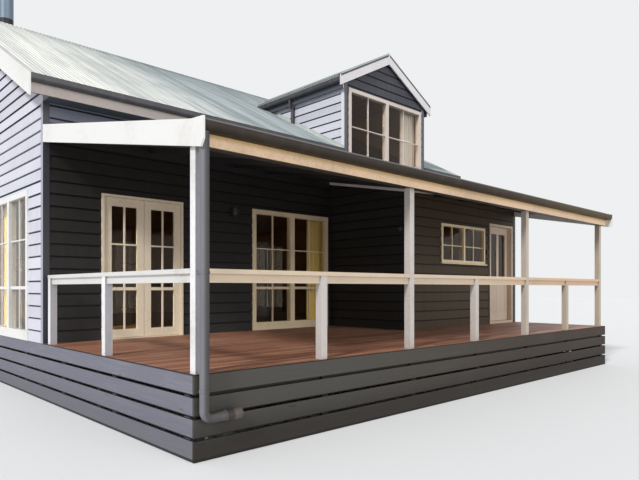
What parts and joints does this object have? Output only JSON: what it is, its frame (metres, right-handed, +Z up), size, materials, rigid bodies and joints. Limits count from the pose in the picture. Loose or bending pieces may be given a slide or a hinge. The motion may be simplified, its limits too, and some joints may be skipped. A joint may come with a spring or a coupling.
{
  "type": "beach house",
  "caption": "Timber beach house with an attic dormer, hinged doors, a sunroom and a railed deck under a lean-to verandah.",
  "frame": {"origin": "centre of the footprint at ground level", "axes": "+X right along the front, +Y from the verandah to the back, +Z up"},
  "size_m": [10.3, 13.344, 7.8994],
  "materials": {
    "slate_paint": "satin paint on weatherboards",
    "white_paint": "satin paint",
    "cream_paint": "satin paint",
    "eave_paint": "satin paint",
    "rafter_paint": "flat paint",
    "deck_timber": "oiled boards",
    "pine": "sawn timber",
    "concrete": null,
    "glass": "clear",
    "steel": "brushed",
    "roof_metal": "weathered corrugated sheet",
    "flue_metal": "weathered",
    "slate_metal": "satin",
    "brown_metal": "satin",
    "pipe_grey": "painted",
    "lamp_black": "satin",
    "curtain_cloth": "woven"
  },
  "bodies": {
    "root": {"stumps": "concrete", "floor_bearers": "pine", "floor_joists": "pine", "deck_floor": "deck_timber", "house_floor": "pine", "upper_floor": "pine", "front_and_rear_skirts": "slate_paint", "side_skirts": "slate_paint", "front_wall": "slate_paint", "walls_over_openings": "slate_paint", "sunroom_side_wall": "slate_paint", "sunroom_front_wall": "slate_paint", "left_gable_wall": "slate_paint", "right_gable_wall": "slate_paint", "rear_wall": "slate_paint", "corner_boards": "slate_paint", "front_window_frames": "cream_paint", "gable_window_frames": "cream_paint", "rear_window_frames": "cream_paint", "window_glass": "glass", "door_hinges": "steel", "french_door_frame": "cream_paint", "entry_door_frame": "cream_paint", "main_roof_front": "roof_metal", "main_roof_rear": "roof_metal", "ridge_caps": "roof_metal", "barge_boards": "white_paint", "eaves": "eave_paint", "main_gutters": "slate_metal", "flue": "flue_metal", "dormer_front_wall": "slate_paint", "dormer_cheeks": "slate_paint", "dormer_roof": "roof_metal", "dormer_trim": "white_paint", "dormer_gutters": "slate_metal", "verandah_posts": "white_paint", "handrails": "white_paint", "verandah_beam": "cream_paint", "verandah_rafters": "rafter_paint", "verandah_raking_boards": "white_paint", "verandah_roof": "roof_metal", "verandah_gutter": "brown_metal", "corner_downpipe": "pipe_grey", "wall_lamps": "lamp_black", "curtains": "curtain_cloth"},
    "french_door_left": {"french_door_left": "cream_paint", "french_door_left_glass": "glass", "french_door_handle": "steel"},
    "french_door_right": {"french_door_right": "cream_paint", "french_door_right_glass": "glass"},
    "entry_door": {"entry_door": "cream_paint", "entry_door_glass": "glass", "entry_door_handle": "steel"}
  },
  "joints": [
    {"name": "french_door_left_hinge", "type": "hinge", "parent": "root", "child": "french_door_left", "pos_m": [-3.97, -2.468, 1.875], "axis": [0, 0, 1], "range_deg": [0, 90]},
    {"name": "french_door_right_hinge", "type": "hinge", "parent": "root", "child": "french_door_right", "pos_m": [-2.687, -2.468, 1.875], "axis": [0, 0, -1], "range_deg": [0, 90]},
    {"name": "entry_door_hinge", "type": "hinge", "parent": "root", "child": "entry_door", "pos_m": [4.649, -4.408, 1.885], "axis": [0, 0, -1], "range_deg": [0, 90]}
  ]
}
